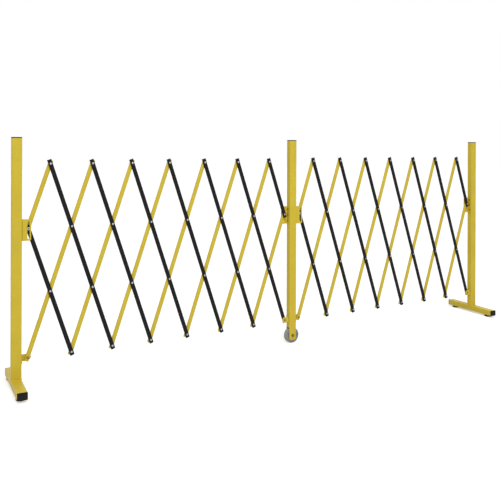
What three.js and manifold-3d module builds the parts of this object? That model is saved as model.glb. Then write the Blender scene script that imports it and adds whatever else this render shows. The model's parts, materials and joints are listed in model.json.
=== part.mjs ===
import * as THREE from "three";
import { mergeVertices } from "three/addons/utils/BufferGeometryUtils.js";
import Module from "manifold-3d";

// Expandable safety barrier, in millimetres, +Z up, +X along the barrier, -Y its front.
// Two riveted scissor lattices join three posts. The outer posts stand on T feet and the
// middle post rolls on a wheel. The origin is on the floor, under the middle of the barrier.

const wasm = await Module();
wasm.setup();

// Angles and counts
const degree = Math.PI / 180;
const quarterTurn = Math.PI / 2;
const halfTurn = Math.PI;
const openBarAngle = 62 * degree;
const foldedBarAngle = 86.5 * degree;
const lastColumn = 14;
const lastRow = 3;
const slotRow = 2;
const cornerSteps = 1;
const endSteps = 3;
const rivetSides = 8;
const slotPinSides = 12;
const domeSteps = 2;
const holeSides = 6;
const padSides = 20;
const wheelSides = 24;
const hexSides = 6;

// Whole barrier. A span is how far a lattice is drawn out, between its two lowest pivots.
const leftSpan = 1237;
const rightSpan = 1205;
const overallHeight = 1028;
const lowerPivotHeight = 121;
const pivotSpacing = 280;
const pivotReach = 25.5;

// Clearances
const seatGap = 0.3;
const runningGap = 0.5;
const cutOverrun = 5;

// Lattice bars, pressed channels with their webs to the front
const barWidth = 18;
const barDepth = 8;
const barWall = 1.2;
const barBend = 4;
const barOverhang = 15;
const layerGap = 0.6;

// Rivets and slot pins of the lattice
const rivetRadius = 3;
const rivetHeadRadius = 5;
const rivetHeadHeight = 2.2;
const rivetTailRadius = 4.6;
const rivetTailHeight = 1.6;
const rivetPlay = 0.5;
const slotPinRadius = 4;
const slotPinHeadRadius = 6;
const slotEndPlay = 0.6;

// Posts, rectangular tube
const postWidth = 40;
const postDepth = 30;
const tubeWall = 1.5;
const tubeCorner = 3;

// Feet, the same tube stock laid flat
const footLength = 318;
const footHeight = 30;

// Plastic end plugs of posts and feet
const capThickness = 4;
const capBevel = 0.8;
const plugLength = 12;
const plugWall = 1.6;

// Rubber pads under the feet
const padRadius = 19;
const padHeight = 10;
const padChamfer = 2.5;
const padInset = 36;
const padStemRadius = 4;
const padStemRise = 5;

// Slotted upper brackets and lower lugs, bent from plate
const plateThickness = 2.5;
const plateBend = 4;
const flangeLength = 22;
const slotEndMargin = 7;
const slotSideMargin = 6;
const plateCorner = 8;
const lugHeight = 28;
const lugFlangeHeight = 36;
const blindRivetRadius = 2.2;
const blindRivetHeadRadius = 4.2;
const blindRivetHeadHeight = 1.5;
const slotPlateRivetPitch = 30;
const blindRivetSides = 8;

// Wheel and its axle in the forked foot of the middle post
const wheelRadius = 38;
const tyreDepth = 8;
const tyreShoulder = 3;
const tyreSideGap = 2.5;
const hubRimDepth = 4;
const hubWebThickness = 7;
const hubBossRadius = 10;
const axleRadius = 4;
const axleHeadFlats = 13;
const axleHeadHeight = 5.3;
const axleNutHeight = 6.5;
const axleTail = 3;
const forkDrop = 23;
const forkCorner = 12;
const forkGap = 8;

// Places worked out from the sizes above, in Y from the middle plane of the lattice
const yellowWebFront = layerGap / 2;
const yellowWebBack = yellowWebFront + barWall;
const blackFront = -(layerGap / 2 + barDepth);
const blackWebBack = blackFront + barWall;
const plateInner = layerGap / 2 + barDepth + layerGap;
const plateOuter = plateInner + plateThickness;
const pivotOffset = postWidth / 2 + seatGap + pivotReach;
const footTop = padHeight + footHeight;
const postTop = overallHeight - capThickness;
const slotLow = slotRow * pivotSpacing * Math.sin(openBarAngle);
const slotHigh = slotRow * pivotSpacing * Math.sin(foldedBarAngle);
const slotMiddle = (slotLow + slotHigh) / 2;
const slotHalfTravel = (slotHigh - slotLow) / 2 + slotEndPlay;
const slotRadius = slotPinRadius + runningGap;
const slotPlateHeight = 2 * (slotHalfTravel + slotRadius + slotEndMargin);
const slotPlateReach = pivotReach + slotRadius + slotSideMargin;
const lugReach = pivotReach + lugHeight / 2;
const forkInside = postDepth - 2 * tubeWall;
const leftPitch = leftSpan / lastColumn;
const rightPitch = rightSpan / lastColumn;
const leftBarAngle = Math.acos(leftPitch / pivotSpacing);
const rightBarAngle = Math.acos(rightPitch / pivotSpacing);
const middlePostX = (lastColumn * (leftPitch - rightPitch)) / 2;
const leftLatticeX = middlePostX - pivotOffset - lastColumn * leftPitch;
const rightLatticeX = middlePostX + pivotOffset;
const leftPostX = leftLatticeX - pivotOffset;
const rightPostX = rightLatticeX + lastColumn * rightPitch + pivotOffset;

// Finishes
function finish(color, roughness, metalness) {
  return new THREE.MeshStandardMaterial({ color, roughness, metalness });
}

const yellowPaint = () => finish(0xd3b92f, 0.45, 0);
const blackPaint = () => finish(0x1b1b1d, 0.4, 0);
const blackPlastic = () => finish(0x151517, 0.6, 0);
const blackRubber = () => finish(0x121212, 0.85, 0);
const greyPlastic = () => finish(0x9a9d9b, 0.55, 0);
const greyRubber = () => finish(0x7d807f, 0.8, 0);
const zincSteel = () => finish(0xb9bcc0, 0.35, 1);

// Joining and cutting: a geometry becomes a solid once its vertices are shared and its
// collapsed triangles are dropped
function solidOf(geometry) {
  const bare = geometry.clone();
  bare.deleteAttribute("normal");
  bare.deleteAttribute("uv");
  const shared = mergeVertices(bare);
  const corners = shared.index.array;
  const kept = [];
  for (let first = 0; first < corners.length; first += 3) {
    const [a, b, c] = corners.slice(first, first + 3);
    if (a !== b && b !== c && c !== a) {
      kept.push(a, b, c);
    }
  }
  return new wasm.Manifold(
    new wasm.Mesh({
      numProp: 3,
      vertProperties: shared.attributes.position.array,
      triVerts: new Uint32Array(kept),
    }),
  );
}

function geometryOf(solid) {
  const mesh = solid.getMesh();
  const geometry = new THREE.BufferGeometry();
  geometry.setAttribute("position", new THREE.BufferAttribute(new Float32Array(mesh.vertProperties), 3));
  geometry.setIndex(new THREE.BufferAttribute(new Uint32Array(mesh.triVerts), 1));
  const faceted = geometry.toNonIndexed();
  faceted.computeVertexNormals();
  return faceted;
}

function join(base, additions) {
  return geometryOf(additions.reduce((solid, piece) => solid.add(solidOf(piece)), solidOf(base)));
}

function cut(base, tools) {
  return geometryOf(tools.reduce((solid, tool) => solid.subtract(solidOf(tool)), solidOf(base)));
}

function common(base, limit) {
  return geometryOf(solidOf(base).intersect(solidOf(limit)));
}

// Basic forms
function extrude(shape, length, steps = cornerSteps) {
  return new THREE.ExtrudeGeometry(shape, { depth: length, bevelEnabled: false, curveSegments: steps });
}

function turn(profile, sides) {
  return new THREE.LatheGeometry(
    profile.map(([radius, height]) => new THREE.Vector2(radius, height)),
    sides,
  );
}

// A round bar along Y, from one height to another
function roundBar(radius, from, to, sides) {
  return new THREE.CylinderGeometry(radius, radius, to - from, sides).translate(0, (from + to) / 2, 0);
}

// A hole along Y whose flats stay clear of a round bar
function clearHole(radius, from, to) {
  return roundBar(radius / Math.cos(halfTurn / holeSides), from, to, holeSides);
}

function roundedOutline(path, width, height, corner) {
  const x = width / 2;
  const y = height / 2;
  path.moveTo(-x + corner, -y);
  path.lineTo(x - corner, -y);
  path.absarc(x - corner, -y + corner, corner, -quarterTurn, 0);
  path.lineTo(x, y - corner);
  path.absarc(x - corner, y - corner, corner, 0, quarterTurn);
  path.lineTo(-x + corner, y);
  path.absarc(-x + corner, y - corner, corner, quarterTurn, halfTurn);
  path.lineTo(-x, -y + corner);
  path.absarc(-x + corner, -y + corner, corner, halfTurn, halfTurn + quarterTurn);
  return path;
}

function tubeShape(width, height, wall, corner) {
  const shape = roundedOutline(new THREE.Shape(), width, height, corner);
  shape.holes.push(roundedOutline(new THREE.Path(), width - 2 * wall, height - 2 * wall, corner - wall));
  return shape;
}

// A quarter ellipse of points, from the crown of a head to its rim
function domePoints(radius, height, rimY) {
  const points = [];
  for (let step = 0; step <= domeSteps; step += 1) {
    const angle = (quarterTurn * step) / domeSteps;
    points.push([radius * Math.sin(angle), rimY - height * Math.cos(angle)]);
  }
  points[0][0] = 0;
  return points;
}

// Lattice bars. A bar lies along X from its first pivot, with its web to the front.
function channelShape() {
  const side = barWidth / 2;
  const middle = side - barBend;
  const shape = new THREE.Shape();
  shape.moveTo(-side, barDepth);
  shape.lineTo(-side, barBend);
  shape.absarc(-middle, barBend, barBend, halfTurn, halfTurn + quarterTurn);
  shape.lineTo(middle, 0);
  shape.absarc(middle, barBend, barBend, -quarterTurn, 0);
  shape.lineTo(side, barDepth);
  shape.lineTo(side - barWall, barDepth);
  shape.lineTo(side - barWall, barWall);
  shape.lineTo(-side + barWall, barWall);
  shape.lineTo(-side + barWall, barDepth);
  return shape;
}

function channelBar(pivotCount, webFront) {
  const length = (pivotCount - 1) * pivotSpacing + 2 * barOverhang;
  return extrude(channelShape(), length).rotateY(quarterTurn).translate(-barOverhang, webFront, 0);
}

function pivotHole(along, webFront) {
  const hole = clearHole(rivetRadius + rivetPlay, webFront - barWall, webFront + 2 * barWall);
  return hole.translate(along, 0, 0);
}

// The far end of every rivet, hammered over inside the channel behind it
function tailPoints(face) {
  return [
    [rivetRadius, face],
    [rivetTailRadius, face],
    [0, face + rivetTailHeight],
  ];
}

function latticeRivet() {
  const profile = [
    ...domePoints(rivetHeadRadius, rivetHeadHeight, blackFront),
    [rivetRadius, blackFront],
    ...tailPoints(yellowWebBack + rivetPlay),
  ];
  return turn(profile, rivetSides);
}

// The pin at a left-hand end passes forward through the slot of the plate before it
function frontSlotPin() {
  const profile = [
    ...domePoints(slotPinHeadRadius, rivetHeadHeight, -plateOuter - rivetPlay),
    [slotPinRadius, -plateOuter - rivetPlay],
    [slotPinRadius, blackWebBack],
    [rivetRadius, blackWebBack],
    ...tailPoints(yellowWebBack + rivetPlay),
  ];
  return turn(profile, slotPinSides);
}

// The pin at a right-hand end passes back through the slot of the plate behind it
function backSlotPin() {
  const profile = [
    ...domePoints(rivetHeadRadius, rivetHeadHeight, blackFront),
    [rivetRadius, blackFront],
    [rivetRadius, yellowWebBack + rivetPlay],
    [slotPinRadius, yellowWebBack + rivetPlay],
    [slotPinRadius, plateOuter + rivetPlay],
    [slotPinHeadRadius, plateOuter + rivetPlay],
    [slotPinHeadRadius, plateOuter + rivetPlay + rivetTailHeight],
    [0, plateOuter + rivetPlay + rivetTailHeight],
  ];
  return turn(profile, slotPinSides);
}

// The crossings that one bar joins, from its left end to its right end. Along a rising bar
// column less row stays the same, and along a falling bar column plus row does.
function crossingsOf(diagonal, rising) {
  const crossings = [];
  for (let row = 0; row <= lastRow; row += 1) {
    const column = rising ? diagonal + row : diagonal - row;
    if (column >= 0 && column <= lastColumn) {
      crossings.push({ column, row });
    }
  }
  return crossings.sort((one, other) => one.column - other.column);
}

function yellowBar(crossings) {
  const holes = crossings.map((crossing, order) => pivotHole(order * pivotSpacing, yellowWebFront));
  return cut(channelBar(crossings.length, yellowWebFront), holes);
}

function blackBar(crossings) {
  let bar = channelBar(crossings.length, blackFront);
  const pins = [];
  crossings.forEach(({ column, row }, order) => {
    const along = order * pivotSpacing;
    if (row === 0 && column === lastColumn) {
      bar = cut(bar, [pivotHole(along, blackFront)]);
    } else if (row === slotRow && column === 0) {
      pins.push(frontSlotPin().translate(along, 0, 0));
    } else if (row === slotRow && column === lastColumn) {
      pins.push(backSlotPin().translate(along, 0, 0));
    } else {
      pins.push(latticeRivet().translate(along, 0, 0));
    }
  });
  return join(bar, pins);
}

function lattice(side, angle) {
  const section = new THREE.Group();
  const place = (mesh, { column, row }, turnAngle) => {
    mesh.position.set(column * pivotSpacing * Math.cos(angle), 0, row * pivotSpacing * Math.sin(angle));
    mesh.rotation.y = turnAngle;
    section.add(mesh);
  };
  const barCount = (lastColumn + slotRow) / 2;
  for (let number = 1; number <= barCount; number += 1) {
    const rising = crossingsOf(2 * number - 2 - slotRow, true);
    const yellow = new THREE.Mesh(yellowBar(rising), yellowPaint());
    yellow.name = `${side}_yellow_bar_${number}`;
    place(yellow, rising[0], -angle);
    const falling = crossingsOf(2 * number, false);
    const black = new THREE.Mesh(blackBar(falling), blackPaint());
    black.name = `${side}_black_bar_${number}`;
    place(black, falling[0], angle);
  }
  return section;
}

// Brackets, bent from plate. The wing lies in the front plane and points to +X, and the
// flange lies on the side of the post behind it. Both are centred on Z.
function anglePlate(reach, height) {
  const shape = new THREE.Shape();
  shape.moveTo(reach, 0);
  shape.lineTo(plateBend, 0);
  shape.absarc(plateBend, plateBend, plateBend, -quarterTurn, -halfTurn, true);
  shape.lineTo(0, flangeLength);
  shape.lineTo(plateThickness, flangeLength);
  shape.lineTo(plateThickness, plateBend);
  shape.absarc(plateBend, plateBend, plateBend - plateThickness, halfTurn, halfTurn + quarterTurn);
  shape.lineTo(reach, plateThickness);
  return extrude(shape, height).translate(0, 0, -height / 2);
}

// An outline drawn on the front view, carried through the whole depth of a bracket
function throughFront(shape, steps) {
  const depth = flangeLength + 2 * cutOverrun;
  return extrude(shape, depth, steps).rotateX(quarterTurn).translate(0, flangeLength + cutOverrun, 0);
}

function blindRivet(z) {
  const flangeMiddle = (flangeLength + plateBend) / 2;
  const insideWall = -seatGap - tubeWall - rivetPlay;
  const profile = [
    [0, insideWall],
    [blindRivetRadius, insideWall],
    [blindRivetRadius, plateThickness],
    [blindRivetHeadRadius, plateThickness],
    [0, plateThickness + blindRivetHeadHeight],
  ];
  return turn(profile, blindRivetSides).rotateZ(-quarterTurn).translate(0, flangeMiddle, z);
}

const slotPlateRivets = [-slotPlateRivetPitch, 0, slotPlateRivetPitch];

function slottedPlate() {
  const outline = new THREE.Shape();
  const top = slotPlateHeight / 2;
  outline.moveTo(0, -top);
  outline.lineTo(slotPlateReach - plateCorner, -top);
  outline.absarc(slotPlateReach - plateCorner, -top + plateCorner, plateCorner, -quarterTurn, 0);
  outline.lineTo(slotPlateReach, top - plateCorner);
  outline.absarc(slotPlateReach - plateCorner, top - plateCorner, plateCorner, 0, quarterTurn);
  outline.lineTo(0, top);
  const slot = new THREE.Shape();
  slot.moveTo(pivotReach - slotRadius, slotHalfTravel);
  slot.lineTo(pivotReach - slotRadius, -slotHalfTravel);
  slot.absarc(pivotReach, -slotHalfTravel, slotRadius, -halfTurn, 0);
  slot.lineTo(pivotReach + slotRadius, slotHalfTravel);
  slot.absarc(pivotReach, slotHalfTravel, slotRadius, 0, halfTurn);
  const plate = common(anglePlate(slotPlateReach, slotPlateHeight), throughFront(outline, cornerSteps));
  return join(cut(plate, [throughFront(slot, endSteps)]), slotPlateRivets.map(blindRivet));
}

function lugPlate() {
  const outline = new THREE.Shape();
  const high = lugFlangeHeight / 2;
  const low = lugHeight / 2;
  outline.moveTo(0, -high);
  outline.lineTo(plateThickness, -high);
  outline.lineTo(plateBend, -low);
  outline.lineTo(pivotReach, -low);
  outline.absarc(pivotReach, 0, low, -quarterTurn, quarterTurn);
  outline.lineTo(plateBend, low);
  outline.lineTo(plateThickness, high);
  outline.lineTo(0, high);
  return common(anglePlate(lugReach, lugFlangeHeight), throughFront(outline, endSteps));
}

// A bracket moved from its own corner to the side of its post
function onPostSide(geometry) {
  return geometry.translate(postWidth / 2 + seatGap, -plateOuter, 0);
}

// The pivot of a left-hand lug stands forward of the lug and holds a yellow bar
function leftLugPin() {
  const face = yellowWebFront - rivetPlay;
  const profile = [
    ...domePoints(rivetHeadRadius, rivetHeadHeight, face),
    [rivetRadius, face],
    ...tailPoints(plateOuter),
  ];
  return turn(profile, rivetSides).translate(pivotOffset, 0, 0);
}

// The pivot of a right-hand lug reaches back from the lug and holds a black bar
function rightLugPin() {
  const profile = [
    ...domePoints(rivetHeadRadius, rivetHeadHeight, -plateOuter),
    [rivetRadius, -plateOuter],
    ...tailPoints(blackWebBack + rivetPlay),
  ];
  return turn(profile, rivetSides).translate(-pivotOffset, 0, 0);
}

function bracketNode(name, geometry, z) {
  const mesh = new THREE.Mesh(geometry, yellowPaint());
  mesh.name = name;
  mesh.position.z = z;
  return mesh;
}

// The two brackets that hold a lattice to the +X side of a post
function rightSideBrackets(name) {
  const upper = onPostSide(slottedPlate());
  const lower = join(onPostSide(lugPlate()).rotateX(halfTurn), [leftLugPin()]);
  return [
    bracketNode(`${name}_slotted_bracket`, upper, lowerPivotHeight + slotMiddle),
    bracketNode(`${name}_lug`, lower, lowerPivotHeight),
  ];
}

// The same brackets turned half round, for the -X side of a post
function leftSideBrackets(name) {
  const upper = onPostSide(slottedPlate()).rotateZ(halfTurn);
  const lower = join(onPostSide(lugPlate()).rotateX(halfTurn).rotateZ(halfTurn), [rightLugPin()]);
  return [
    bracketNode(`${name}_slotted_bracket`, upper, lowerPivotHeight + slotMiddle),
    bracketNode(`${name}_lug`, lower, lowerPivotHeight),
  ];
}

// Posts
function blindRivetHoles(side) {
  const radius = blindRivetRadius + seatGap;
  const reach = (side * postWidth) / 2;
  const depth = side * ((flangeLength + plateBend) / 2 - plateOuter);
  return slotPlateRivets.map((z) => {
    const bore = clearHole(radius, reach - cutOverrun, reach + cutOverrun);
    return bore.rotateZ(-quarterTurn).translate(0, depth, lowerPivotHeight + slotMiddle + z);
  });
}

function postTube(bottom, sides) {
  const tube = extrude(tubeShape(postWidth, postDepth, tubeWall, tubeCorner), postTop - seatGap - bottom);
  return cut(tube.translate(0, 0, bottom), sides.flatMap(blindRivetHoles));
}

// The middle post ends in two tongues, with its side walls cut away above the wheel
function forkedPost() {
  const bottom = wheelRadius - forkDrop;
  const sideWall = postWidth / 2 - tubeWall;
  const cutTop = wheelRadius + Math.sqrt(wheelRadius ** 2 - sideWall ** 2) + forkGap;
  const wellHeight = cutTop - bottom + cutOverrun;
  const wheelWell = new THREE.BoxGeometry(postWidth + 2 * cutOverrun, forkInside, wellHeight);
  wheelWell.translate(0, 0, cutTop - wellHeight / 2);
  const axleHole = roundBar(axleRadius + seatGap, -postDepth, postDepth, slotPinSides);
  axleHole.translate(0, 0, wheelRadius);
  const side = postWidth / 2 + cutOverrun;
  const half = postWidth / 2;
  const outline = new THREE.Shape();
  outline.moveTo(-side, postTop);
  outline.lineTo(-side, cutTop);
  outline.lineTo(-half, cutTop);
  outline.lineTo(-half, bottom + forkCorner);
  outline.absarc(-half + forkCorner, bottom + forkCorner, forkCorner, halfTurn, halfTurn + quarterTurn);
  outline.lineTo(half - forkCorner, bottom);
  outline.absarc(half - forkCorner, bottom + forkCorner, forkCorner, -quarterTurn, 0);
  outline.lineTo(half, cutTop);
  outline.lineTo(side, cutTop);
  outline.lineTo(side, postTop);
  const frontView = extrude(outline, 2 * postDepth, endSteps).rotateX(quarterTurn);
  frontView.translate(0, postDepth, 0);
  return cut(common(postTube(bottom, [-1, 1]), frontView), [wheelWell, axleHole]);
}

// A moulded plug that closes a tube end: a bevelled plate and a hollow insert below it
function endPlug(width, height) {
  const rim = roundedOutline(new THREE.Shape(), width - 2 * capBevel, height - 2 * capBevel, tubeCorner);
  const plate = new THREE.ExtrudeGeometry(rim, {
    depth: capThickness - 2 * capBevel,
    bevelThickness: capBevel,
    bevelSize: capBevel,
    bevelSegments: 1,
    curveSegments: cornerSteps,
  }).translate(0, 0, capBevel);
  const inset = 2 * (tubeWall + seatGap);
  const insert = tubeShape(width - inset, height - inset, plugWall, tubeCorner - tubeWall);
  const stem = extrude(insert, plugLength + capThickness / 2).translate(0, 0, -plugLength);
  return join(plate, [stem]);
}

function plugNode(name, width, height) {
  const mesh = new THREE.Mesh(endPlug(width, height), blackPlastic());
  mesh.name = name;
  return mesh;
}

function topPlug(name) {
  const mesh = plugNode(`${name}_top_cap`, postWidth, postDepth);
  mesh.position.z = postTop;
  return mesh;
}

// Feet
function footTube() {
  const tube = extrude(tubeShape(postWidth, footHeight, tubeWall, tubeCorner), footLength);
  tube.rotateX(quarterTurn).translate(0, footLength / 2, padHeight + footHeight / 2);
  const holes = [-1, 1].map((end) => {
    const hole = clearHole(padStemRadius + seatGap, -cutOverrun, cutOverrun);
    return hole.rotateX(quarterTurn).translate(0, end * (footLength / 2 - padInset), padHeight);
  });
  return cut(tube, holes);
}

function footPad() {
  const top = padHeight - seatGap;
  const profile = [
    [0, 0],
    [padRadius - padChamfer, 0],
    [padRadius, padChamfer],
    [padRadius, top],
    [padStemRadius, top],
    [padStemRadius, top + padStemRise],
    [0, top + padStemRise],
  ];
  return turn(profile, padSides).rotateX(quarterTurn);
}

function foot(name) {
  const group = new THREE.Group();
  const tube = new THREE.Mesh(footTube(), yellowPaint());
  tube.name = `${name}_foot`;
  group.add(tube);
  for (const [end, sign] of [["front", -1], ["back", 1]]) {
    const plug = plugNode(`${name}_foot_${end}_cap`, postWidth, footHeight);
    plug.rotation.x = -sign * quarterTurn;
    plug.position.set(0, sign * (footLength / 2 + seatGap), padHeight + footHeight / 2);
    const pad = new THREE.Mesh(footPad(), blackRubber());
    pad.name = `${name}_foot_${end}_pad`;
    pad.position.y = sign * (footLength / 2 - padInset);
    group.add(plug, pad);
  }
  return group;
}

// Wheel
function tyre() {
  const half = forkInside / 2 - tyreSideGap;
  const bore = wheelRadius - tyreDepth + seatGap;
  const profile = [
    [bore, -half],
    [wheelRadius - tyreShoulder, -half],
    [wheelRadius, -half + tyreShoulder],
    [wheelRadius, half - tyreShoulder],
    [wheelRadius - tyreShoulder, half],
    [bore, half],
    [bore, -half],
  ];
  return turn(profile, wheelSides);
}

function hub() {
  const rim = wheelRadius - tyreDepth;
  const half = forkInside / 2 - tyreSideGap;
  const boss = forkInside / 2 - runningGap;
  const web = hubWebThickness / 2;
  const bore = axleRadius + runningGap;
  const profile = [
    [bore, -boss],
    [hubBossRadius, -boss],
    [hubBossRadius, -web],
    [rim - hubRimDepth, -web],
    [rim - hubRimDepth, -half],
    [rim, -half],
    [rim, half],
    [rim - hubRimDepth, half],
    [rim - hubRimDepth, web],
    [hubBossRadius, web],
    [hubBossRadius, boss],
    [bore, boss],
    [bore, -boss],
  ];
  return turn(profile, wheelSides);
}

function hexPrism(from, to) {
  return roundBar(axleHeadFlats / 2 / Math.cos(halfTurn / hexSides), from, to, hexSides);
}

function axleBolt() {
  const face = postDepth / 2 + seatGap;
  const end = face + seatGap + axleNutHeight + axleTail;
  return join(roundBar(axleRadius, -face - axleHeadHeight / 2, end, slotPinSides), [
    hexPrism(-face - axleHeadHeight, -face),
  ]);
}

function axleNut() {
  const face = postDepth / 2 + seatGap;
  const bore = roundBar(axleRadius + seatGap, 0, postDepth, slotPinSides);
  return cut(hexPrism(face, face + axleNutHeight), [bore]);
}

function wheelSet() {
  const group = new THREE.Group();
  const pieces = [
    ["wheel_tyre", tyre(), greyRubber()],
    ["wheel_hub", hub(), greyPlastic()],
    ["wheel_axle_bolt", axleBolt(), zincSteel()],
    ["wheel_axle_nut", axleNut(), zincSteel()],
  ];
  for (const [name, geometry, material] of pieces) {
    const mesh = new THREE.Mesh(geometry, material);
    mesh.name = name;
    group.add(mesh);
  }
  group.position.z = wheelRadius;
  return group;
}

// Assembly
function postNode(name, geometry) {
  const mesh = new THREE.Mesh(geometry, yellowPaint());
  mesh.name = `${name}_post`;
  return mesh;
}

const leftPost = new THREE.Group();
leftPost.add(postNode("left", postTube(footTop + seatGap, [1])), topPlug("left_post"), foot("left"));
leftPost.add(...rightSideBrackets("left_post"));
leftPost.position.x = leftPostX;

const middlePost = new THREE.Group();
middlePost.add(postNode("middle", forkedPost()), topPlug("middle_post"), wheelSet());
middlePost.add(...leftSideBrackets("middle_post_left"), ...rightSideBrackets("middle_post_right"));
middlePost.position.x = middlePostX;

const rightPost = new THREE.Group();
rightPost.add(postNode("right", postTube(footTop + seatGap, [-1])), topPlug("right_post"), foot("right"));
rightPost.add(...leftSideBrackets("right_post"));
rightPost.position.x = rightPostX;

const leftLattice = lattice("left", leftBarAngle);
leftLattice.position.set(leftLatticeX, 0, lowerPivotHeight);

const rightLattice = lattice("right", rightBarAngle);
rightLattice.position.set(rightLatticeX, 0, lowerPivotHeight);

const barrier = new THREE.Group();
barrier.add(leftPost, leftLattice, middlePost, rightLattice, rightPost);

export default barrier;
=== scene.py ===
# Looks of an expandable safety barrier: two riveted scissor lattices between three posts.
# Metres, +Z up, +X along the barrier, -Y its front. The sizes repeat those of the solids, but
# the long black bars reach further at their tops. The places of pivots, posts, feet and wheel
# come from the frame.

import json
import math

import bmesh
import bpy
import numpy as np
from mathutils import Matrix, Vector


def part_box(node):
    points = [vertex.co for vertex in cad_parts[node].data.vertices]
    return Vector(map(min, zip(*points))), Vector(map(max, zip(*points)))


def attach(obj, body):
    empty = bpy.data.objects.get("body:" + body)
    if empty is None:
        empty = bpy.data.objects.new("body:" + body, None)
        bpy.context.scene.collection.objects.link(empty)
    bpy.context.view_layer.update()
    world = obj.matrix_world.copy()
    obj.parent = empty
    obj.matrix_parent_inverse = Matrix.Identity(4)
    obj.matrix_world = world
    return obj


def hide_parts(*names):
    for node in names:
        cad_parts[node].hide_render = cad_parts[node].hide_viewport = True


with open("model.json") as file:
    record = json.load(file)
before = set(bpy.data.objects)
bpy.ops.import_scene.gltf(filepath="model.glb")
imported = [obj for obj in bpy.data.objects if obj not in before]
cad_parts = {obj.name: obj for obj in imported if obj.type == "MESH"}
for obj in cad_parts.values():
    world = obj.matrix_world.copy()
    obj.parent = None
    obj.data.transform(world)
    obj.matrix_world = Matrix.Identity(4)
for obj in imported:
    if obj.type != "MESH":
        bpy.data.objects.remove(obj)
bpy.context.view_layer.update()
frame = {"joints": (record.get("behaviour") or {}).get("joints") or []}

# Axes
X = np.array((1.0, 0.0, 0.0))
Y = np.array((0.0, 1.0, 0.0))
Z = np.array((0.0, 0.0, 1.0))

# Counts
last_column = 14
last_row = 3
slot_row = 2
bar_count = 8
corner_steps = 6
plate_steps = 12
lug_columns = 9
tongue_steps = 48
dome_steps = 8
thread_steps = 8
small_round_sides = 32
big_round_sides = 96
weld_ripples = 44
weld_steps = 528
weld_section_points = 12
bevel_segments = 2

# Meshing
merge_distance = 0.000002
sharp_angle = math.radians(35)

# Clearances
seat_gap = 0.0003
rivet_play = 0.0005
running_gap = 0.0005

# Lattice bars, pressed channels with their webs to the front
bar_width = 0.018
bar_depth = 0.008
bar_wall = 0.0012
bar_bend = 0.004
bar_overhang = 0.015
black_top_overhang = 0.0185
bar_edge_round = 0.0003
layer_gap = 0.0006

# Rivets and slot pins
rivet_radius = 0.003
rivet_head_radius = 0.005
rivet_head_height = 0.0022
rivet_head_rim = 0.0005
rivet_tail_radius = 0.0046
rivet_tail_height = 0.0016
slot_pin_radius = 0.004
slot_pin_head_radius = 0.006
pin_wall = 0.0008
pin_hollow_depth = 0.005
pin_edge_round = 0.0005
pin_shoulder_share = 0.6

# Posts and feet, rectangular tube
post_width = 0.040
post_depth = 0.030
tube_wall = 0.0015
tube_corner = 0.003
tube_edge_round = 0.0004
foot_height = 0.030

# Plastic end plugs
plug_plate = 0.004
plug_edge_round = 0.0006
plug_crown = 0.0003
plug_length = 0.012
plug_wall = 0.0016
smallest_corner = 0.0002

# Rubber pads
pad_radius = 0.019
pad_height = 0.010
pad_foot_round = 0.0025
pad_top_round = 0.0008
pad_stem_radius = 0.004
pad_stem_rise = 0.005
pad_sole_radius = 0.013
pad_sole_rise = 0.0008
pad_sole_round = 0.0002

# Weld beads where the posts stand on the feet
weld_radius = 0.0021
weld_ripple = 0.00016
weld_first_turn = math.radians(-30)
weld_last_turn = math.radians(120)

# Slotted brackets and lugs, bent from plate
plate_thickness = 0.0025
plate_bend = 0.004
plate_edge_round = 0.0005
flange_length = 0.022
pivot_reach = 0.0255
slot_end_margin = 0.007
slot_side_margin = 0.006
slot_round_share = 0.999
plate_corner = 0.008
lug_height = 0.028
lug_flange_height = 0.036
blind_rivet_radius = 0.0022
blind_rivet_head_radius = 0.0042
blind_rivet_head_height = 0.0015
blind_rivet_rim = 0.0004
blind_rivet_round = 0.0002
blind_rivet_hollow = 0.0013
blind_rivet_hollow_depth = 0.0012
blind_rivet_pitch = 0.030

# Wheel and axle
wheel_radius = 0.038
tyre_depth = 0.008
tyre_shoulder = 0.003
tyre_side_gap = 0.0025
tyre_groove = 0.0006
tyre_groove_half = 0.0012
tyre_groove_floor_half = 0.0006
tyre_groove_round = 0.0003
hub_rim_depth = 0.004
hub_web = 0.007
hub_boss_radius = 0.010
hub_round = 0.00045
axle_radius = 0.004
axle_head_flats = 0.013
axle_head_height = 0.0053
axle_nut_height = 0.0065
axle_tail = 0.003
hex_edge_inset = 0.0003
hex_chamfer_angle = math.radians(28)
thread_pitch = 0.00125
thread_depth = 0.0006
fork_corner = 0.012
fork_gap = 0.008

# Camera, worked out from the crossings, posts and feet in the photograph
camera_place = (-1.72563, -2.71781, 0.98296)
camera_turn = 0.504
camera_roll = 0.0034
camera_lens = 45.586
camera_sensor = 36.0
camera_shift_up = -0.20246

# Light and floor
key_direction = (-0.24, -0.50, 0.83)
key_strength = 1.0
key_angle = math.radians(38)
fill_direction = (0.25, 0.88, 0.40)
fill_strength = 0.75
fill_angle = math.radians(90)
lamp_place = (-0.5, -2.95, 2.75)
lamp_aim = (-0.1, 0.0, 0.7)
lamp_size = 1.6
lamp_power = 45.0
sky_strength = 0.445
floor_half = 30.0
floor_drop = 0.0002
floor_glow = 0.42

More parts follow.
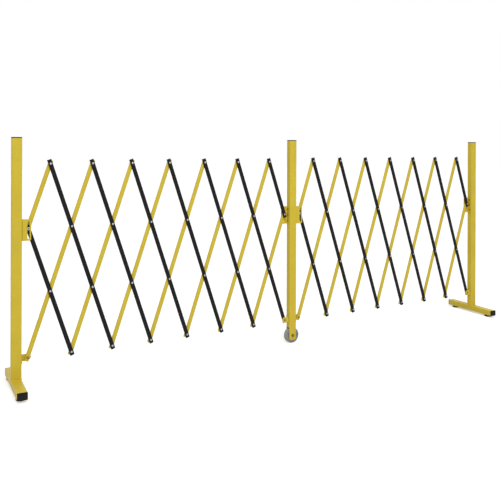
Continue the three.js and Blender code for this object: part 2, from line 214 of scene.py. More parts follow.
# Colours as they look under plain light
yellow_colour = "#CDB634"
yellow_deep_colour = "#B99B28"
black_paint_colour = "#111113"
black_paint_deep_colour = "#080809"
black_plastic_colour = "#151515"
black_plastic_light_colour = "#1E1E1D"
rubber_colour = "#0E0E0E"
rubber_light_colour = "#181817"
hub_colour = "#9EA09F"
hub_light_colour = "#AFB1B0"
tyre_colour = "#8E9290"
tyre_light_colour = "#9EA2A0"
zinc_colour = "#B4B6BA"
zinc_dull_colour = "#93959A"
bronze_colour = "#4E3A24"
bronze_dark_colour = "#241A10"
pin_colour = "#D2CCC0"
pin_dull_colour = "#B0A99C"
bolt_colour = "#94755C"
bolt_dull_colour = "#644A36"
dust_colour = "#A79F90"
# Painted shade in brown on the wheel's side faces, where the fork's tongues shade them
side_shade_colour = "#5A4E40"
# Painted shade in near black on the rims of the rivet heads and in the hollows of the front slot pins
dark_shade_colour = "#2A2724"
floor_colour = "#E6E6E6"

# Noise in the finishes: its scales and heights, and the shares that its values are spread between
tone_shares = (-0.35, 0.65)
speckle_share = 0.25
peel_height = 0.00005
flow_scale = 30.0
flow_shares = (0.0, 0.7)
scuff_scale = 160.0
grain_height = 0.00006
grain_strength_share = 0.6
cloud_scale = 220.0
scratch_scale = 2200.0
scratch_height = 0.00002
scratch_strength_share = 0.5

# Dust, by its height above the floor
dust_reach = 0.045
dust_share = 0.05
pad_dust_reach = 0.012
pad_dust_share = 0.12
tyre_dust_share = 0.15
dust_patch_scale = 55.0
dust_patch_shares = (-0.6, 1.6)
dust_roughness_share = 0.4

# Painted shade, by its distance from the wheel's middle plane or from the front of the black bars
shade_patch_scale = 120.0
shade_patch_shares = (0.55, 1.3)
side_shade_share = 0.4
dark_shade_share = 0.9
# Painted shade on the wheel's side faces, between the tongues
side_shade_start = 0.0092
side_shade_end = 0.0106
# Painted shade round the rims of the domed heads, standing in for the darker reflection at a shiny
# dome's edge
rim_shade_start = 0.0018
rim_shade_end = 0.0010
# Painted shade deep in the hollows of the front slot pins
hollow_shade_start = 0.0049
hollow_shade_end = 0.0032


# Places taken from the frame

joint_places = {row["name"]: np.array(row["pos_m"]) for row in frame["joints"]}


def crossing(side, column, row):
    """The crossing's pivot: the lowest left one plus column pitches in X and row rises in Z."""
    if side == "left":
        first, last = joint_places["left_post_pivot"], joint_places["left_fold"]
    else:
        first, last = joint_places["right_fold"], joint_places["right_post_pivot"]
    crown = max(place[2] for name, place in joint_places.items() if name.startswith(side))
    pitch = (last[0] - first[0]) / last_column
    rise = (crown - first[2]) / last_row
    return first + column * pitch * X + row * rise * Z


def crossings_of(diagonal, rising):
    """Columns and rows of one bar's pivots: column - row is constant on a rising bar, and
    column + row on a falling one."""
    pairs = [(diagonal + row if rising else diagonal - row, row) for row in range(last_row + 1)]
    return sorted(pair for pair in pairs if 0 <= pair[0] <= last_column)


def node_box(node):
    """Lowest and highest corner of a solid, as arrays."""
    low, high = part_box(node)
    return np.array(low), np.array(high)


yellow_web_front = layer_gap / 2
yellow_web_back = yellow_web_front + bar_wall
black_front = -(layer_gap / 2 + bar_depth)
black_web_back = black_front + bar_wall
lattice_tail_face = yellow_web_back + rivet_play
plate_inner = layer_gap / 2 + bar_depth + layer_gap
plate_outer = plate_inner + plate_thickness
slot_radius = slot_pin_radius + running_gap
slot_plate_reach = pivot_reach + slot_radius + slot_side_margin
fork_inside = post_depth - 2 * tube_wall
foot_top = pad_height + foot_height


# Meshes: every surface is a grid of points, and the grid's quads are numbered by its rows

def quads_of(rows, columns, wrap_rows=False, wrap_columns=False):
    """Corner numbers of a grid's quads. A wrapped direction joins its last line to its first."""
    row, column = np.meshgrid(
        np.arange(rows if wrap_rows else rows - 1),
        np.arange(columns if wrap_columns else columns - 1),
        indexing="ij",
    )
    next_row = (row + 1) % rows
    next_column = (column + 1) % columns
    corners = (
        row * columns + column,
        row * columns + next_column,
        next_row * columns + next_column,
        next_row * columns + column,
    )
    return np.stack(corners, axis=-1).reshape(-1, 4)


def patch(grid, wrap_rows=False, wrap_columns=False):
    """A grid of points, rows by columns by three, as flat points and quads."""
    rows, columns = grid.shape[:2]
    return grid.reshape(-1, 3), quads_of(rows, columns, wrap_rows, wrap_columns)


def open_wall(lines):
    """Four open lines joined in a loop, and one more face at each end of the lines."""
    points, quads = patch(lines, wrap_rows=True)
    count, length = lines.shape[:2]
    end = np.arange(count) * length
    return points, np.vstack([quads, end, end + length - 1])


def together(*parts):
    """Several patches as one, so that the lines that they share are merged."""
    counts = np.cumsum([0] + [len(points) for points, _ in parts])
    points = np.concatenate([points for points, _ in parts])
    quads = np.concatenate([quads + first for (_, quads), first in zip(parts, counts)])
    return points, quads


def unit(vector):
    """The vector divided by its length."""
    return vector / np.linalg.norm(vector)


def rounded(corners, radii, closed=False, steps=corner_steps):
    """An outline with arcs at its corners. The arc's centre is on the bisector, at
    radius / sin(half angle), and the arc starts at radius / tan(half angle) from the corner."""
    corners = np.array(corners, dtype=float)
    radii = np.array(np.broadcast_to(radii, len(corners)), dtype=float)
    back = np.roll(corners, 1, axis=0) - corners
    ahead = np.roll(corners, -1, axis=0) - corners
    if not closed:
        back[0] = (-ahead[0, 1], ahead[0, 0])
        ahead[-1] = (-back[-1, 1], back[-1, 0])
        radii[[0, -1]] = 0
    back /= np.linalg.norm(back, axis=1, keepdims=True)
    ahead /= np.linalg.norm(ahead, axis=1, keepdims=True)
    half_angle = np.arccos(np.clip((back * ahead).sum(axis=1), -1, 1)) / 2
    bisector = back + ahead
    bisector /= np.linalg.norm(bisector, axis=1, keepdims=True)
    centre = corners + bisector * (radii / np.sin(half_angle))[:, None]
    start = corners + back * (radii / np.tan(half_angle))[:, None] - centre
    side = np.sign(ahead[:, 0] * back[:, 1] - ahead[:, 1] * back[:, 0])
    angle = side[:, None] * (np.pi - 2 * half_angle)[:, None] * np.linspace(0, 1, steps + 1)
    across = start[:, :1] * np.cos(angle) - start[:, 1:] * np.sin(angle)
    along = start[:, :1] * np.sin(angle) + start[:, 1:] * np.cos(angle)
    points = centre[:, None, :] + np.stack([across, along], axis=-1)
    return points.reshape(-1, 2)


def rounded_rectangle(width, height, corner):
    """A closed outline with four equal arcs, centred on zero."""
    x, y = width / 2, height / 2
    return rounded([(-x, -y), (x, -y), (x, y), (-x, y)], corner, closed=True)


def stacked(levels, origin, across, along, out):
    """A grid of flat outlines set one above another. A level is (outline, height), and its
    point (a, b) lies at origin + a * across + b * along + height * out."""
    return np.stack([
        origin + outline[:, :1] * across + outline[:, 1:] * along + height * out
        for outline, height in levels
    ])


def wall_levels(outer, inner, length):
    """A wall's levels: the outer outline carried along the length, and the inner one back."""
    return [(outer, 0), (outer, length), (inner, length), (inner, 0)]


def revolved(profile, centre, axis, sides=small_round_sides, ring=False):
    """A profile of (radius, distance) turned about an axis: centre + distance * axis +
    radius * (cos t * u + sin t * v). A ring's profile closes on itself."""
    helper = Z if abs(axis[2]) < abs(axis[0]) + abs(axis[1]) else X
    u = unit(np.cross(axis, helper))
    v = np.cross(axis, u)
    turn = np.linspace(0, 2 * np.pi, sides, endpoint=False)
    circle = np.cos(turn)[:, None] * u + np.sin(turn)[:, None] * v
    grid = (
        centre
        + profile[:, 1][:, None, None] * axis
        + profile[:, 0][:, None, None] * circle[None, :, :]
    )
    return patch(grid, wrap_rows=ring, wrap_columns=True)


def dome(radius, height, rim, face, toward):
    """A head's profile from its crown to its face: a quarter ellipse above a short rim."""
    angle = np.linspace(0, np.pi / 2, dome_steps + 1)
    distance = face + toward * (rim + (height - rim) * np.cos(angle))
    curve = np.stack([radius * np.sin(angle), distance], axis=1)
    return np.vstack([curve, [(radius, face)]])


# Pieces

def mesh_of(name, parts):
    """One mesh from several patches. Each patch has its doubles merged by itself, and its
    faces turned outward."""
    whole = bmesh.new()
    for points, quads in parts:
        sheet = bpy.data.meshes.new(name)
        sheet.from_pydata(points.tolist(), [], quads.tolist())
        one = bmesh.new()
        one.from_mesh(sheet)
        bmesh.ops.remove_doubles(one, verts=one.verts, dist=merge_distance)
        bmesh.ops.recalc_face_normals(one, faces=one.faces)
        one.to_mesh(sheet)
        one.free()
        whole.from_mesh(sheet)
        bpy.data.meshes.remove(sheet)
    mesh = bpy.data.meshes.new(name)
    whole.to_mesh(mesh)
    whole.free()
    return mesh


def add_piece(name, parts, finish, body, nodes=(), edge=0.0, sheet=0.0):
    """A named piece that rides on a body, in a finish's material; the finish's slot is not used.
    `sheet` gives a flat sheet its thickness, half to each side, and `edge` rounds its sharp edges."""
    material, slot = finish
    mesh = mesh_of(name, parts)
    mesh.polygons.foreach_set("use_smooth", np.ones(len(mesh.polygons), dtype=bool))
    mesh.set_sharp_from_angle(angle=sharp_angle)
    mesh.materials.append(material)
    piece = bpy.data.objects.new(name, mesh)
    bpy.context.scene.collection.objects.link(piece)
    if sheet:
        wall = piece.modifiers.new("wall", "SOLIDIFY")
        wall.thickness = sheet
        wall.offset = 0
        wall.use_even_offset = True
    if edge:
        rounding = piece.modifiers.new("edges", "BEVEL")
        rounding.width = edge
        rounding.segments = bevel_segments
        rounding.limit_method = "ANGLE"
        rounding.angle_limit = sharp_angle
        rounding.harden_normals = True
    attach(piece, body)
    if nodes:
        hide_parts(*nodes)


# Shader tools

def linear(colour):
    """A colour written as #RRGGBB, as linear red, green, blue and alpha. The standard curve is
    value / 12.92 up to 0.04045, and ((value + 0.055) / 1.055) ** 2.4 above."""
    parts = np.array([int(colour[first:first + 2], 16) for first in (1, 3, 5)]) / 255
    shares = np.where(parts <= 0.04045, parts / 12.92, ((parts + 0.055) / 1.055) ** 2.4)
    return (*shares.tolist(), 1.0)


def feed(tree, node, values):
    """Each input of a node, by name or number, gets a link from a socket, or a plain value."""
    for name, value in values.items():
        if isinstance(value, bpy.types.NodeSocket):
            tree.links.new(value, node.inputs[name])
        else:
            node.inputs[name].default_value = value


def add_node(tree, kind, values, **settings):
    """A node with its settings, and what feeds its inputs."""
    node = tree.nodes.new(kind)
    for name, value in settings.items():
        setattr(node, name, value)
    feed(tree, node, values)
    return node


def noise(tree, place, scale, detail=3.0, roughness=0.5):
    """Noise on the given coordinates."""
    values = {"Vector": place, "Scale": scale, "Detail": detail, "Roughness": roughness}
    return add_node(tree, "ShaderNodeTexNoise", values).outputs["Fac"]


def calculate(tree, operation, *values, clamp=False):
    """A Math node."""
    inputs = dict(enumerate(values))
    node = add_node(tree, "ShaderNodeMath", inputs, operation=operation, use_clamp=clamp)
    return node.outputs[0]


def spread_between(tree, factor, low, high):
    """The factor, from 0 to 1, carried to the range from low to high."""
    values = {"Value": factor, "To Min": low, "To Max": high}
    return add_node(tree, "ShaderNodeMapRange", values).outputs["Result"]


def blended(tree, factor, first, second):
    """A colour between two, by the factor. A Mix node's colours are its inputs 6 and 7 and its
    output 2."""
    values = {0: factor, 6: first, 7: second}
    return add_node(tree, "ShaderNodeMix", values, data_type="RGBA").outputs[2]


def raised(tree, height, distance, strength=1.0):
    """A bump that follows a height."""
    values = {"Height": height, "Distance": distance, "Strength": strength}
    return add_node(tree, "ShaderNodeBump", values).outputs["Normal"]


# Shader groups

white = (1, 1, 1, 1)


def new_group(name, inputs, outputs=("Colour", "Roughness", "Normal")):
    """A shader node group with named sockets. An input whose value is a number is a float, and
    any other is a colour. It gives the tree, what the group is given, its output node and the
    piece's coordinates."""
    tree = bpy.data.node_groups.new(name, "ShaderNodeTree")
    for socket, value in inputs.items():
        kind = "NodeSocketFloat" if isinstance(value, float) else "NodeSocketColor"
        item = tree.interface.new_socket(socket, in_out="INPUT", socket_type=kind)
        item.default_value = value
    kinds = {"Colour": "Color", "Roughness": "Float", "Normal": "Vector"}
    for socket in outputs:
        kind = f"NodeSocket{kinds[socket]}"
        tree.interface.new_socket(socket, in_out="OUTPUT", socket_type=kind)
    given = tree.nodes.new("NodeGroupInput").outputs
    place = tree.nodes.new("ShaderNodeTexCoord").outputs["Object"]
    return tree, given, tree.nodes.new("NodeGroupOutput"), place


def give_finish(tree, given, leave, tone, gloss, normal):
    """What a finish's group puts out: its two colours blended by the tone, its gloss spread from
    low to high, and its normal."""
    feed(tree, leave, {
        "Colour": blended(tree, tone, given["Colour"], given["Second Colour"]),
        "Roughness": spread_between(tree, gloss, given["Gloss Low"], given["Gloss High"]),
        "Normal": normal,
    })
    return tree


def broken_up(tree, mask, amount, patches, shares):
    """A mask times patches, which are spread between two shares first, times an amount."""
    spotted = calculate(tree, "MULTIPLY", mask, spread_between(tree, patches, *shares), clamp=True)
    return calculate(tree, "MULTIPLY", spotted, amount, clamp=True)


finish_inputs = {"Colour": white, "Second Colour": white, "Gloss Low": 0.3, "Gloss High": 0.5}


def paint_film_group():
    """Powder coat: slow changes of tone and gloss, and a fine orange peel in the surface."""
    inputs = {**finish_inputs, "Tone Scale": 9.0, "Peel Scale": 700.0, "Peel Height": peel_height}
    tree, given, leave, place = new_group("paint film", inputs)
    tone = noise(tree, place, given["Tone Scale"], detail=4.0)
    speckle = noise(tree, place, given["Peel Scale"], detail=2.0)
    mottled = calculate(tree, "MULTIPLY_ADD", speckle, speckle_share, -speckle_share / 2)
    share = calculate(tree, "ADD", spread_between(tree, tone, *tone_shares), mottled, clamp=True)
    peel = raised(tree, speckle, given["Peel Height"])
    return give_finish(tree, given, leave, share, tone, peel)


def moulded_grain_group():
    """Moulded plastic or rubber: a leathery grain, flow marks in the tone, scuffed gloss."""
    inputs = {**finish_inputs, "Grain Scale": 900.0, "Grain Height": grain_height}
    tree, given, leave, place = new_group("moulded grain", inputs)
    values = {"Vector": place, "Scale": given["Grain Scale"]}
    cells = add_node(tree, "ShaderNodeTexVoronoi", values, feature="SMOOTH_F1")
    flow = noise(tree, place, flow_scale, detail=5.0, roughness=0.6)
    scuffs = noise(tree, place, scuff_scale, roughness=0.6)
    share = spread_between(tree, flow, *flow_shares)
    depth = cells.outputs["Distance"]
    grain = raised(tree, depth, given["Grain Height"], grain_strength_share)
    return give_finish(tree, given, leave, share, scuffs, grain)


def plated_metal_group():
    """Zinc or bronze plating: cloudy tone, fine drawn scratches and uneven gloss."""
    inputs = {**finish_inputs, "Cloud Scale": cloud_scale}
    tree, given, leave, place = new_group("plated metal", inputs)
    clouds = noise(tree, place, given["Cloud Scale"], detail=4.0, roughness=0.6)
    scratches = noise(tree, place, scratch_scale, detail=2.0, roughness=0.7)
    drawn = raised(tree, scratches, scratch_height, scratch_strength_share)
    return give_finish(tree, given, leave, clouds, clouds, drawn)


def floor_dust_group():
    """Dust that lies near the floor: a mask that falls with height, broken up by noise."""
    inputs = {
        "Colour": white,
        "Roughness": 0.5,
        "Dust Colour": linear(dust_colour),
        "Reach": dust_reach,
        "Amount": 1.0,
    }
    tree, given, leave, place = new_group("floor dust", inputs, ("Colour", "Roughness"))
    height = add_node(tree, "ShaderNodeSeparateXYZ", {"Vector": place}).outputs["Z"]
    values = {"Value": height, "From Max": given["Reach"], "To Min": 1.0, "To Max": 0.0}
    low = add_node(tree, "ShaderNodeMapRange", values).outputs["Result"]
    patches = noise(tree, place, dust_patch_scale, detail=6.0, roughness=0.65)
    share = broken_up(tree, low, given["Amount"], patches, dust_patch_shares)
    rise = calculate(tree, "MULTIPLY", share, dust_roughness_share)
    feed(tree, leave, {
        "Colour": blended(tree, share, given["Colour"], given["Dust Colour"]),
        "Roughness": calculate(tree, "ADD", given["Roughness"], rise, clamp=True),
    })
    return tree


def shade_group():
    """Painted shade across the barrier: a mask that rises where the distance from a plane
    square to Y passes from Start to End, broken up by noise. It darkens the wheel's side faces
    between the tongues, the rims of the round heads and the hollows of the front slot pins."""
    inputs = {
        "Colour": white,
        "Shade Colour": linear(side_shade_colour),
        "Plane": 0.0,
        "Start": side_shade_start,
        "End": side_shade_end,
        "Amount": 1.0,
    }
    tree, given, leave, place = new_group("painted_shade", inputs, ("Colour",))
    depth = add_node(tree, "ShaderNodeSeparateXYZ", {"Vector": place}).outputs["Y"]
    away = calculate(tree, "ABSOLUTE", calculate(tree, "SUBTRACT", depth, given["Plane"]))
    values = {"Value": away, "From Min": given["Start"], "From Max": given["End"]}
    gathered = add_node(tree, "ShaderNodeMapRange", values, interpolation_type="SMOOTHSTEP")
    patches = noise(tree, place, shade_patch_scale, detail=4.0, roughness=0.6)
    mask = gathered.outputs["Result"]
    share = broken_up(tree, mask, given["Amount"], patches, shade_patch_shares)
    feed(tree, leave, {"Colour": blended(tree, share, given["Colour"], given["Shade Colour"])})
    return tree


paint_film = paint_film_group()
moulded_grain = moulded_grain_group()
plated_metal = plated_metal_group()
floor_dust = floor_dust_group()
gathered_shade = shade_group()


# Finishes

def new_material(name):
    """A material and its tree."""
    material = bpy.data.materials.new(name)
    material.use_nodes = True
    return material, material.node_tree


def surface(
    name, slot, group, colours, gloss, pattern=None, specular=0.5, metallic=0.0, painted_shade=None, dust=None
):
    """A finish, as a material and the slot that it belongs to. Its tone, gloss and normal come
    from a group. Painted shade may lie over the tone, and dust over tone and gloss near the floor."""
    material, tree = new_material(name)
    first, second = map(linear, colours)
    low, high = gloss
    values = {"Colour": first, "Second Colour": second, "Gloss Low": low, "Gloss High": high}
    values.update(pattern or {})
    finish = add_node(tree, "ShaderNodeGroup", values, node_tree=group).outputs
    tone, roughness = finish["Colour"], finish["Roughness"]
    if painted_shade:
        values = {**painted_shade, "Colour": tone}
        tone = add_node(tree, "ShaderNodeGroup", values, node_tree=gathered_shade).outputs["Colour"]
    if dust:
        values = {**dust, "Colour": tone, "Roughness": roughness}
        layer = add_node(tree, "ShaderNodeGroup", values, node_tree=floor_dust).outputs
        tone, roughness = layer["Colour"], layer["Roughness"]
    feed(tree, tree.nodes["Principled BSDF"], {
        "Metallic": metallic,
        "Specular IOR Level": specular,
        "Base Color": tone,
        "Roughness": roughness,
        "Normal": finish["Normal"],
    })
    return material, slot


low_dust = {"Amount": dust_share}
# Painted shade in brown on the wheel's side faces, between the tongues
side_shade = {"Amount": side_shade_share}
# Painted shade in near black, by closeness to the front of the black bars
dark_shade = {"Shade Colour": linear(dark_shade_colour), "Plane": black_front, "Amount": dark_shade_share}
# Painted shade round the rims of the rivet heads, standing in for the darker reflection at a shiny
# dome's edge
rim_shade = {**dark_shade, "Start": rim_shade_start, "End": rim_shade_end}
# Painted shade deep in the hollows of the front slot pins
hollow_shade = {**dark_shade, "Start": hollow_shade_start, "End": hollow_shade_end}

yellow_coat = surface(
    "yellow powder coat",
    "yellow_paint",
    paint_film,
    colours=(yellow_colour, yellow_deep_colour),
    gloss=(0.38, 0.52),
    pattern={"Tone Scale": 9.0, "Peel Scale": 650.0},
    specular=0.24,
    dust=low_dust,
)
black_coat = surface(
    "black powder coat",
    "black_paint",
    paint_film,
    colours=(black_paint_colour, black_paint_deep_colour),
    gloss=(0.36, 0.5),
    pattern={"Tone Scale": 12.0, "Peel Scale": 700.0},
    specular=0.15,
)
black_plastic = surface(
    "black moulded plastic",
    "black_plastic",
    moulded_grain,
    colours=(black_plastic_colour, black_plastic_light_colour),
    gloss=(0.55, 0.7),
    pattern={"Grain Scale": 1100.0},
    specular=0.1,
    dust=low_dust,
)
pad_rubber = surface(
    "black rubber",
    "black_rubber",
    moulded_grain,
    colours=(rubber_colour, rubber_light_colour),
    gloss=(0.75, 0.9),
    pattern={"Grain Scale": 700.0},
    specular=0.25,
    dust={"Reach": pad_dust_reach, "Amount": pad_dust_share},
)
hub_plastic = surface(
    "grey nylon",
    "grey_plastic",
    moulded_grain,
    colours=(hub_colour, hub_light_colour),
    gloss=(0.45, 0.6),
    pattern={"Grain Scale": 1000.0},
    specular=0.2,
    # painted shade on the side faces between the tongues
    painted_shade=side_shade,
    dust=low_dust,
)
tyre_rubber = surface(
    "grey rubber",
    "grey_rubber",
    moulded_grain,
    colours=(tyre_colour, tyre_light_colour),
    gloss=(0.7, 0.85),
    pattern={"Grain Scale": 800.0},
    specular=0.15,
    # painted shade on the side faces between the tongues
    painted_shade=side_shade,
    dust={"Amount": tyre_dust_share},
)
zinc_steel = surface(
    "zinc plated steel",
    "zinc_steel",
    plated_metal,
    colours=(zinc_colour, zinc_dull_colour),
    gloss=(0.35, 0.5),
    metallic=1.0,
    # painted shade round the rims of the rivet heads
    painted_shade=rim_shade,
)
bronzed_steel = surface(
    "bronzed steel",
    "zinc_steel",
    plated_metal,
    colours=(bronze_colour, bronze_dark_colour),
    gloss=(0.4, 0.6),
    metallic=0.6,
)
pin_steel = surface(
    "bright steel",
    "zinc_steel",
    plated_metal,
    colours=(pin_colour, pin_dull_colour),
    gloss=(0.3, 0.45),
    metallic=1.0,
    # painted shade deep in the pin's hollow
    painted_shade=hollow_shade,
)
bolt_steel = surface(
    "browned steel",
    "zinc_steel",
    plated_metal,
    colours=(bolt_colour, bolt_dull_colour),
    gloss=(0.25, 0.45),
    metallic=1.0,
)


# Lattices

def channel_section(inset):
    """A channel's outline from lip to lip, drawn in from its outside by the inset."""
    side = bar_width / 2 - inset
    corners = [(-side, bar_depth), (-side, inset), (side, inset), (side, bar_depth)]
    return rounded(corners, bar_bend - inset)


def channel(first, last, web_front, first_overhang):
    """A pressed channel from one pivot to another: an outer and an inner line of the section
    carried along the bar, joined at both lips and both ends."""
    along = unit(last - first)
    start = first - along * first_overhang + Y * web_front
    length = first_overhang + np.linalg.norm(last - first) + bar_overhang
    levels = wall_levels(channel_section(0), channel_section(bar_wall), length)
    return open_wall(stacked(levels, start, np.cross(along, Y), Y, along))


def round_head():
    """A round head before the black web, from its crown to its neck."""
    head = dome(rivet_head_radius, rivet_head_height, rivet_head_rim, black_front, -1)
    return np.vstack([head, [(rivet_radius, black_front)]])


def hammered(head, pivot, tail_face):
    """A rivet or pin along Y: its head's profile, its shank, and a hammered tail that goes from
    the tail's face to its low crown."""
    tail = dome(rivet_tail_radius, rivet_tail_height, rivet_head_rim, tail_face, 1)[::-1]
    return revolved(np.vstack([head, [(rivet_radius, tail_face)], tail]), pivot, Y)


def lattice_rivet(pivot):
    """A round head before the black web, and a hammered tail inside the yellow web."""
    return hammered(round_head(), pivot, lattice_tail_face)


def tubular_head(face, toward, radius, height, neck):
    """A head with a hollow centre, from the hollow's floor over its lip to the neck."""
    top = face + toward * height
    hollow = neck - pin_wall
    corners = [
        (0, top - toward * pin_hollow_depth),
        (hollow, top - toward * pin_hollow_depth),
        (hollow, top),
        (radius, top),
        (radius, face),
        (neck, face),
    ]
    radii = [0, pin_edge_round, pin_edge_round, height * pin_shoulder_share, 0, 0]
    return rounded(corners, radii)


def front_slot_pin(pivot):
    """A tubular pin that reaches forward through the slot of the plate before the lattice."""
    face = -plate_outer - rivet_play
    head = tubular_head(face, -1, slot_pin_head_radius, rivet_head_height, slot_pin_radius)
    step = [(slot_pin_radius, black_web_back), (rivet_radius, black_web_back)]
    return hammered(np.vstack([head, step]), pivot, lattice_tail_face)


def back_slot_pin(pivot):
    """A pin with a round head at the front and a tubular end behind the slotted plate."""
    face = plate_outer + rivet_play
    head = tubular_head(face, 1, slot_pin_head_radius, rivet_tail_height, slot_pin_radius)
    shoulder = [(rivet_radius, lattice_tail_face), (slot_pin_radius, lattice_tail_face)]
    return revolved(np.vstack([round_head(), shoulder, head[::-1]]), pivot, Y)


slot_pins = {
    (0, slot_row): (front_slot_pin, pin_steel),
    (last_column, slot_row): (back_slot_pin, zinc_steel),
}
lug_crossing = (last_column, 0)


def build_lattice(side):
    """Eight rising yellow and eight falling black channels, and the rivets and slot pins of the
    black ones. A lug's own pin holds the crossing that it stands at. Black bar n lies on the
    diagonal 2 n, and yellow bar n on 2 n - 2 - slot row."""
    for number in range(1, bar_count + 1):
        rising = crossings_of(2 * number - 2 - slot_row, True)
        falling = crossings_of(2 * number, False)
        top_overhang = black_top_overhang if falling[0][1] == last_row else bar_overhang
        for colour, pairs, web_front, coat, overhang in (
            ("yellow", rising, yellow_web_front, yellow_coat, bar_overhang),
            ("black", falling, black_front, black_coat, top_overhang),
        ):
            ends = crossing(side, *pairs[0]), crossing(side, *pairs[-1])
            add_piece(
                f"{side}_{colour}_channel_{number}",
                [channel(*ends, web_front, overhang)],
                coat,
                f"{side}_{colour}_{number}",
                [f"{side}_{colour}_bar_{number}"],
                edge=bar_edge_round,
            )
        body = f"{side}_black_{number}"
        riveted = [pair for pair in falling if pair not in slot_pins and pair != lug_crossing]
        rivets = [lattice_rivet(crossing(side, *pair)) for pair in riveted]
        add_piece(f"{body}_rivets", rivets, zinc_steel, body)
        for pair in falling:
            if pair in slot_pins:
                slot_pin, steel = slot_pins[pair]
                add_piece(f"{body}_slot_pin", [slot_pin(crossing(side, *pair))], steel, body)


# Brackets and lugs

def bent_sheet(tip_rows, bend_low, flange_high, centre_z, place):
    """The middle surface of a bent plate beyond its wing: the bend as a quarter circle, and the
    flange behind it. The half height goes from bend_low to flange_high over the bend."""
    middle = plate_bend - plate_thickness / 2
    angle = np.linspace(0, np.pi / 2, corner_steps + 1)
    x = np.concatenate([plate_bend - middle * np.sin(angle), [plate_thickness / 2]])
    y = np.concatenate([plate_bend - middle * np.cos(angle), [flange_length]])
    bend_high = np.linspace(bend_low, flange_high, corner_steps + 1)
    high = np.concatenate([bend_high, [flange_high]])
    return patch(place(x[:, None], y[:, None], centre_z + high[:, None] * tip_rows[None, :]))


def on_post(post_x, side, front):
    """The place of a bracket's own x, y, z: x leads out from the post's side, and y runs back
    from the plate's face. front is 1 where that face looks forward and -1 where it looks back."""
    def place(x, y, z):
        x, y, z = np.broadcast_arrays(x, y, z)
        out = post_x + side * (post_width / 2 + seat_gap + x)
        return np.stack([out, front * (y - plate_outer), z], axis=-1)
    return place


def upright_corners(left, right, half_height):
    """Corners of an upright rectangle, counted round from its lower right one."""
    return [(right, -half_height), (right, half_height), (left, half_height), (left, -half_height)]


def slotted_plate(place, middle_z, slot_half_travel):
    """The middle surface of a slotted bracket: rings between the slot's outline and the wing's,
    then the bend and the flange. The slot's arcs stay a little under its radius, so that the
    points of two arcs don't fall together."""
    slot_half = slot_half_travel + slot_radius
    top = slot_half + slot_end_margin
    slot_corners = upright_corners(pivot_reach - slot_radius, pivot_reach + slot_radius, slot_half)
    slot_round = slot_radius * slot_round_share
    wing_corners = upright_corners(plate_bend, slot_plate_reach, top)
    wing_rounds = [plate_corner, plate_corner, 0, 0]
    rings = np.stack([
        rounded(slot_corners, slot_round, closed=True, steps=plate_steps),
        rounded(wing_corners, wing_rounds, closed=True, steps=plate_steps),
    ])
    face = place(rings[..., 0], plate_thickness / 2, middle_z + rings[..., 1])
    edge = bent_sheet(np.array([-1.0, 1.0]), top, top, middle_z, place)
    return together(patch(face, wrap_columns=True), edge)


def lug_plate(place, middle_z):
    """The middle surface of a lug: a wing whose half height is constant up to the pin and then
    the square root of radius^2 - x^2, and the bend and a taller flange."""
    low = lug_height / 2
    angle = np.linspace(0, np.pi / 2, plate_steps + 1)
    x = np.concatenate([pivot_reach + low * np.cos(angle), [plate_bend]])
    high = np.concatenate([low * np.sin(angle), [low]])
    across = np.linspace(-1, 1, lug_columns)
    wing = place(x[:, None], plate_thickness / 2, middle_z + high[:, None] * across[None, :])
    edge = bent_sheet(across, low, lug_flange_height / 2, middle_z, place)
    return together(patch(wing), edge)


def blind_rivet(place, z):
    """A blind rivet's head on the flange, with the hollow that its drawn stem leaves."""
    flange_middle = (flange_length + plate_bend) / 2
    base = place(0, flange_middle, z)
    axis = unit(place(1, flange_middle, z) - base)
    top = plate_thickness + blind_rivet_head_height
    tail = -seat_gap - tube_wall - rivet_play
    corners = [
        (0, top - blind_rivet_hollow_depth),
        (blind_rivet_hollow, top - blind_rivet_hollow_depth),
        (blind_rivet_hollow, top),
        (blind_rivet_head_radius, plate_thickness + blind_rivet_rim),
        (blind_rivet_head_radius, plate_thickness),
        (blind_rivet_radius, plate_thickness),
        (blind_rivet_radius, tail),
        (0, tail),
    ]
    radii = [0, blind_rivet_round, blind_rivet_round, blind_rivet_round, 0, 0, 0, 0]
    return revolved(rounded(corners, radii), base, axis)


def lug_pin(pivot, head_face, tail_face):
    """A lug's pivot: a tubular head in front and a hammered tail behind."""
    head = tubular_head(head_face, -1, rivet_head_radius, rivet_head_height, rivet_radius)
    return hammered(head, pivot, tail_face)


def build_bracket_pair(name, post_x, side, body):
    """The slotted bracket, the lug, the blind rivets and the lug's pin on one side of a post."""
    low, high = node_box(f"{name}_slotted_bracket")
    middle_z = (low[2] + high[2]) / 2
    half_travel = (high[2] - low[2]) / 2 - slot_radius - slot_end_margin
    upper = on_post(post_x, side, side)
    add_piece(
        f"{name}_slotted_plate",
        [slotted_plate(upper, middle_z, half_travel)],
        yellow_coat,
        body,
        [f"{name}_slotted_bracket"],
        edge=plate_edge_round,
        sheet=plate_thickness,
    )
    heights = [middle_z + step * blind_rivet_pitch for step in (-1, 0, 1)]
    rivets = [blind_rivet(upper, z) for z in heights]
    add_piece(f"{name}_blind_rivets", rivets, bronzed_steel, body)
    low, high = node_box(f"{name}_lug")
    lug_z = (low[2] + high[2]) / 2
    add_piece(
        f"{name}_lug_plate",
        [lug_plate(on_post(post_x, side, -side), lug_z)],
        yellow_coat,
        body,
        [f"{name}_lug"],
        edge=plate_edge_round,
        sheet=plate_thickness,
    )
    pivot = np.array((post_x + side * (post_width / 2 + seat_gap + pivot_reach), 0, lug_z))
    if side > 0:
        pin = lug_pin(pivot, yellow_web_front - rivet_play, plate_outer)
    else:
        pin = lug_pin(pivot, -plate_outer, black_web_back + rivet_play)
    add_piece(f"{name}_lug_pin", [pin], bolt_steel, body)


# Posts and feet

